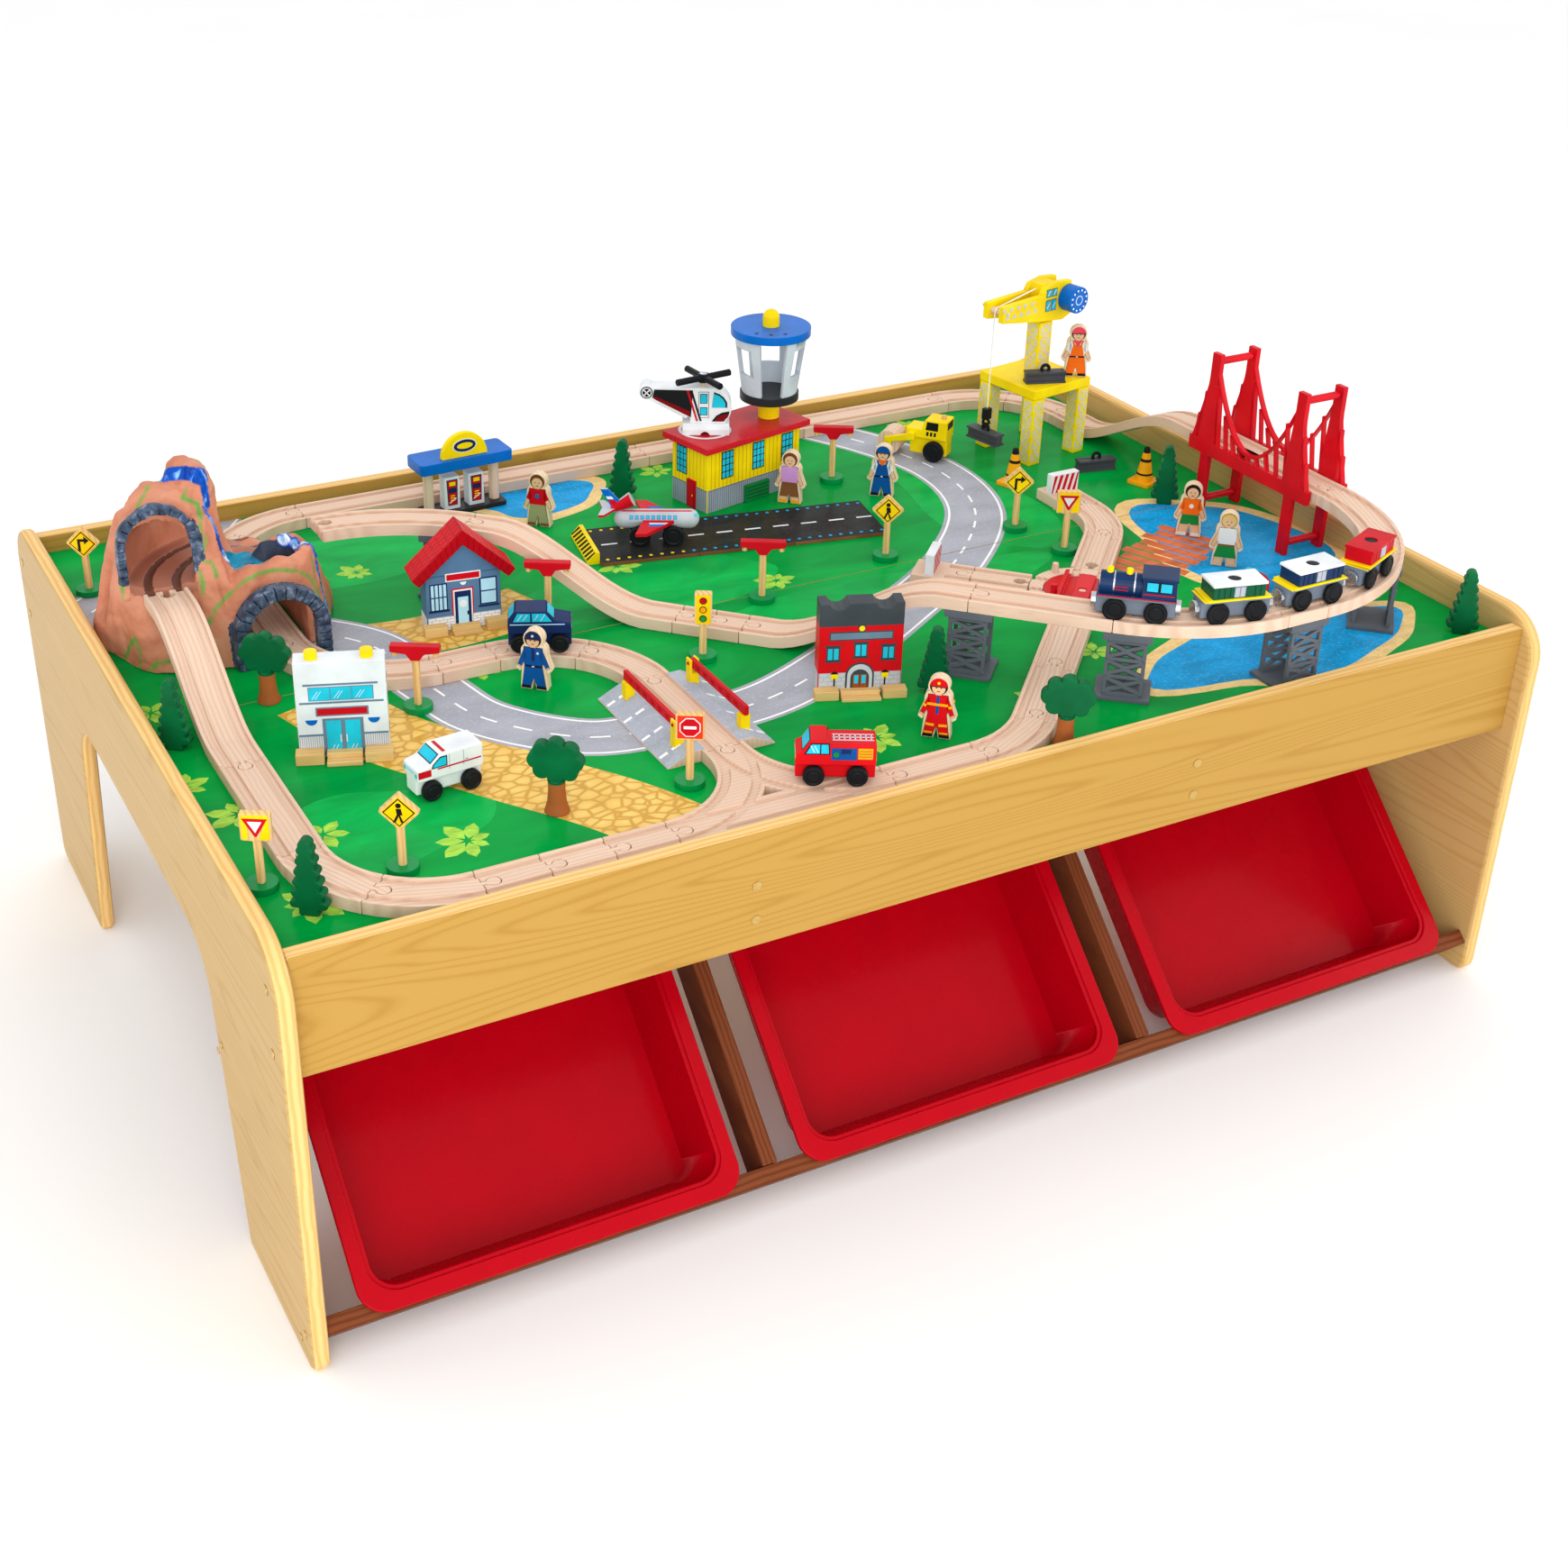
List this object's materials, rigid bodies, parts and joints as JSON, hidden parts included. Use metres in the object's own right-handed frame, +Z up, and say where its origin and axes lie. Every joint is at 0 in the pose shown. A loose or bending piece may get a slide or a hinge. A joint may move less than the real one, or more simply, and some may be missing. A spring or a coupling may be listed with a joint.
{
  "type": "train table",
  "caption": "Wooden play table with arched ends, lift-out bins in a sloping rack, and a toy railway with bridge, hill, crane, turntable and vehicles on its board.",
  "frame": {"origin": "centre of the table's footprint, on the floor", "axes": "+X along the length from the hill to the bridge, +Y from the bins to the back, +Z up"},
  "size_m": [1.2416, 0.87, 0.568],
  "materials": {
    "maple": "clear satin lacquer",
    "print": "printed and lacquered, glossy",
    "brown_wood": "stained",
    "steel": "plated",
    "red_plastic": "glossy",
    "beech": "smooth, clear",
    "grey_plastic": "matte",
    "rock": "moulded and painted",
    "red_paint": "painted",
    "blue_paint": "painted",
    "white_paint": "painted",
    "yellow_paint": "painted",
    "green_paint": "painted",
    "navy_paint": "painted",
    "silver_paint": "painted",
    "black_plastic": "satin",
    "black_print": "printed",
    "cord": "twisted"
  },
  "bodies": {
    "table": {"left_end_panel": "maple", "right_end_panel": "maple", "front_rail": "maple", "back_rail": "maple", "play_boards": "print", "board_supports": "maple", "bin_rack": "brown_wood", "frame_screws": "steel", "ground_tracks": "beech", "raised_tracks": "beech", "turntable_base": "beech", "crossing_plate": "beech", "track_piers": "grey_plastic", "suspension_bridge": "red_plastic", "mountain": "rock", "police_station": "blue_paint", "hospital": "white_paint", "fire_station": "red_paint", "gas_station": "white_paint", "airport_terminal": "yellow_paint", "helicopter": "white_paint", "airplane": "silver_paint", "runway": "black_print", "crane_stand": "yellow_paint", "trees": "green_paint", "road_signs": "beech", "figures": "beech", "site_props": "yellow_paint", "toy_vehicles": "red_paint", "locomotive": "navy_paint", "wagons": "green_paint"},
    "roller_axle": {"roller_axle": "black_plastic"},
    "turntable_rotor": {"turntable_rotor": "red_plastic"},
    "blue_axle_rear": {"blue_axle_rear": "black_plastic"},
    "airplane_axle_front": {"airplane_axle_front": "black_plastic"},
    "red_axle_front": {"red_axle_front": "black_plastic"},
    "airplane_axle_rear": {"airplane_axle_rear": "black_plastic"},
    "roller_drum": {"roller_drum": "beech"},
    "loco_axle_front": {"loco_axle_front": "black_plastic"},
    "gate_arm_left": {"gate_arm_left": "red_plastic"},
    "crane_winch": {"crane_winch": "blue_paint"},
    "blue_axle_front": {"blue_axle_front": "black_plastic"},
    "crane_head": {"crane_head": "yellow_paint", "crane_cord": "cord"},
    "truck_axle_front": {"truck_axle_front": "black_plastic"},
    "ambulance_axle_front": {"ambulance_axle_front": "black_plastic"},
    "bin_middle": {"bin_middle": "red_plastic"},
    "helicopter_rotor": {"helicopter_rotor": "black_plastic"},
    "green_axle_front": {"green_axle_front": "black_plastic"},
    "gate_arm_right": {"gate_arm_right": "red_plastic"},
    "bin_left": {"bin_left": "red_plastic"},
    "crane_hook": {"crane_hook": "black_plastic"},
    "loco_axle_rear": {"loco_axle_rear": "black_plastic"},
    "bin_right": {"bin_right": "red_plastic"},
    "green_axle_rear": {"green_axle_rear": "black_plastic"},
    "red_axle_rear": {"red_axle_rear": "black_plastic"},
    "patrol_axle_rear": {"patrol_axle_rear": "black_plastic"},
    "truck_axle_rear": {"truck_axle_rear": "black_plastic"},
    "patrol_axle_front": {"patrol_axle_front": "black_plastic"},
    "ambulance_axle_rear": {"ambulance_axle_rear": "black_plastic"}
  },
  "joints": [
    {"name": "bin_left_lift", "type": "slide", "parent": "table", "child": "bin_left", "axis": [0, -0.682, 0.7314], "range_m": [0, 0.06]},
    {"name": "bin_middle_lift", "type": "slide", "parent": "table", "child": "bin_middle", "axis": [0, -0.682, 0.7314], "range_m": [0, 0.06]},
    {"name": "bin_right_lift", "type": "slide", "parent": "table", "child": "bin_right", "axis": [0, -0.682, 0.7314], "range_m": [0, 0.06]},
    {"name": "turntable_turn", "type": "hinge", "parent": "table", "child": "turntable_rotor", "pos_m": [0.287, -0.153, 0.382], "axis": [0, 0, 1], "continuous": true},
    {"name": "gate_left_swing", "type": "hinge", "parent": "table", "child": "gate_arm_left", "pos_m": [-0.208, -0.249, 0.399], "axis": [1, 0, 0], "range_deg": [0, 85]},
    {"name": "gate_right_swing", "type": "hinge", "parent": "table", "child": "gate_arm_right", "pos_m": [-0.144, -0.153, 0.399], "axis": [-1, 0, 0], "range_deg": [0, 85]},
    {"name": "crane_slew", "type": "hinge", "parent": "table", "child": "crane_head", "pos_m": [0.48, 0.211, 0.53], "axis": [0, 0, 1], "range_deg": [-120, 100]},
    {"name": "crane_wind", "type": "hinge", "parent": "crane_head", "child": "crane_winch", "pos_m": [0.50352, 0.21579, 0.548], "axis": [0.1994, -0.9799, 0], "range_deg": [0, 400]},
    {"name": "crane_hoist", "type": "slide", "parent": "crane_head", "child": "crane_hook", "axis": [0, 0, 1], "range_m": [0, 0.042], "deforming": ["crane_cord"]},
    {"name": "rotor_spin", "type": "hinge", "parent": "table", "child": "helicopter_rotor", "pos_m": [0.07222, 0.24491, 0.505], "axis": [0, 0, 1], "continuous": true},
    {"name": "airplane_front_roll", "type": "hinge", "parent": "table", "child": "airplane_axle_front", "pos_m": [-0.01372, 0.14455, 0.3855], "axis": [0.4384, 0.8988, 0], "continuous": true},
    {"name": "airplane_rear_roll", "type": "hinge", "parent": "table", "child": "airplane_axle_rear", "pos_m": [-0.04428, 0.15945, 0.3855], "axis": [0.4384, 0.8988, 0], "continuous": true},
    {"name": "loco_front_roll", "type": "hinge", "parent": "table", "child": "loco_axle_front", "pos_m": [0.19415, -0.31514, 0.4558], "axis": [-0.6451, -0.7641, 0], "continuous": true},
    {"name": "loco_rear_roll", "type": "hinge", "parent": "table", "child": "loco_axle_rear", "pos_m": [0.22166, -0.33836, 0.4558], "axis": [-0.6451, -0.7641, 0], "continuous": true},
    {"name": "green_front_roll", "type": "hinge", "parent": "table", "child": "green_axle_front", "pos_m": [0.26595, -0.36113, 0.4558], "axis": [-0.246, -0.9693, 0], "continuous": true},
    {"name": "green_rear_roll", "type": "hinge", "parent": "table", "child": "green_axle_rear", "pos_m": [0.30084, -0.36999, 0.4558], "axis": [-0.246, -0.9693, 0], "continuous": true},
    {"name": "blue_front_roll", "type": "hinge", "parent": "table", "child": "blue_axle_front", "pos_m": [0.3497, -0.37138, 0.4558], "axis": [0, -1, 0], "continuous": true},
    {"name": "blue_rear_roll", "type": "hinge", "parent": "table", "child": "blue_axle_rear", "pos_m": [0.3857, -0.37138, 0.4558], "axis": [0, -1, 0], "continuous": true},
    {"name": "red_front_roll", "type": "hinge", "parent": "table", "child": "red_axle_front", "pos_m": [0.4347, -0.36294, 0.4558], "axis": [0.3977, -0.9175, 0], "continuous": true},
    {"name": "red_rear_roll", "type": "hinge", "parent": "table", "child": "red_axle_rear", "pos_m": [0.46773, -0.34862, 0.4558], "axis": [0.3977, -0.9175, 0], "continuous": true},
    {"name": "ambulance_front_roll", "type": "hinge", "parent": "table", "child": "ambulance_axle_front", "pos_m": [-0.4239, -0.21588, 0.3793], "axis": [0.1045, -0.9945, 0], "continuous": true},
    {"name": "ambulance_rear_roll", "type": "hinge", "parent": "table", "child": "ambulance_axle_rear", "pos_m": [-0.3881, -0.21212, 0.3793], "axis": [0.1045, -0.9945, 0], "continuous": true},
    {"name": "patrol_front_roll", "type": "hinge", "parent": "table", "child": "patrol_axle_front", "pos_m": [-0.22363, -0.03966, 0.3913], "axis": [0.4067, 0.9135, 0], "continuous": true},
    {"name": "patrol_rear_roll", "type": "hinge", "parent": "table", "child": "patrol_axle_rear", "pos_m": [-0.25652, -0.02502, 0.3913], "axis": [0.4067, 0.9135, 0], "continuous": true},
    {"name": "truck_front_roll", "type": "hinge", "parent": "table", "child": "truck_axle_front", "pos_m": [-0.13489, -0.35255, 0.3913], "axis": [-0.4695, -0.8829, 0], "continuous": true},
    {"name": "truck_rear_roll", "type": "hinge", "parent": "table", "child": "truck_axle_rear", "pos_m": [-0.10311, -0.36945, 0.3913], "axis": [-0.4695, -0.8829, 0], "continuous": true},
    {"name": "roller_drum_roll", "type": "hinge", "parent": "table", "child": "roller_drum", "pos_m": [0.33107, 0.27079, 0.3846], "axis": [-0.788, -0.6157, 0], "continuous": true},
    {"name": "roller_rear_roll", "type": "hinge", "parent": "table", "child": "roller_axle", "pos_m": [0.36431, 0.22824, 0.3823], "axis": [-0.788, -0.6157, 0], "continuous": true}
  ],
  "couplings": [
    {"joint": "crane_hoist", "follows": "crane_wind", "m_per_rad": 0.006}
  ]
}
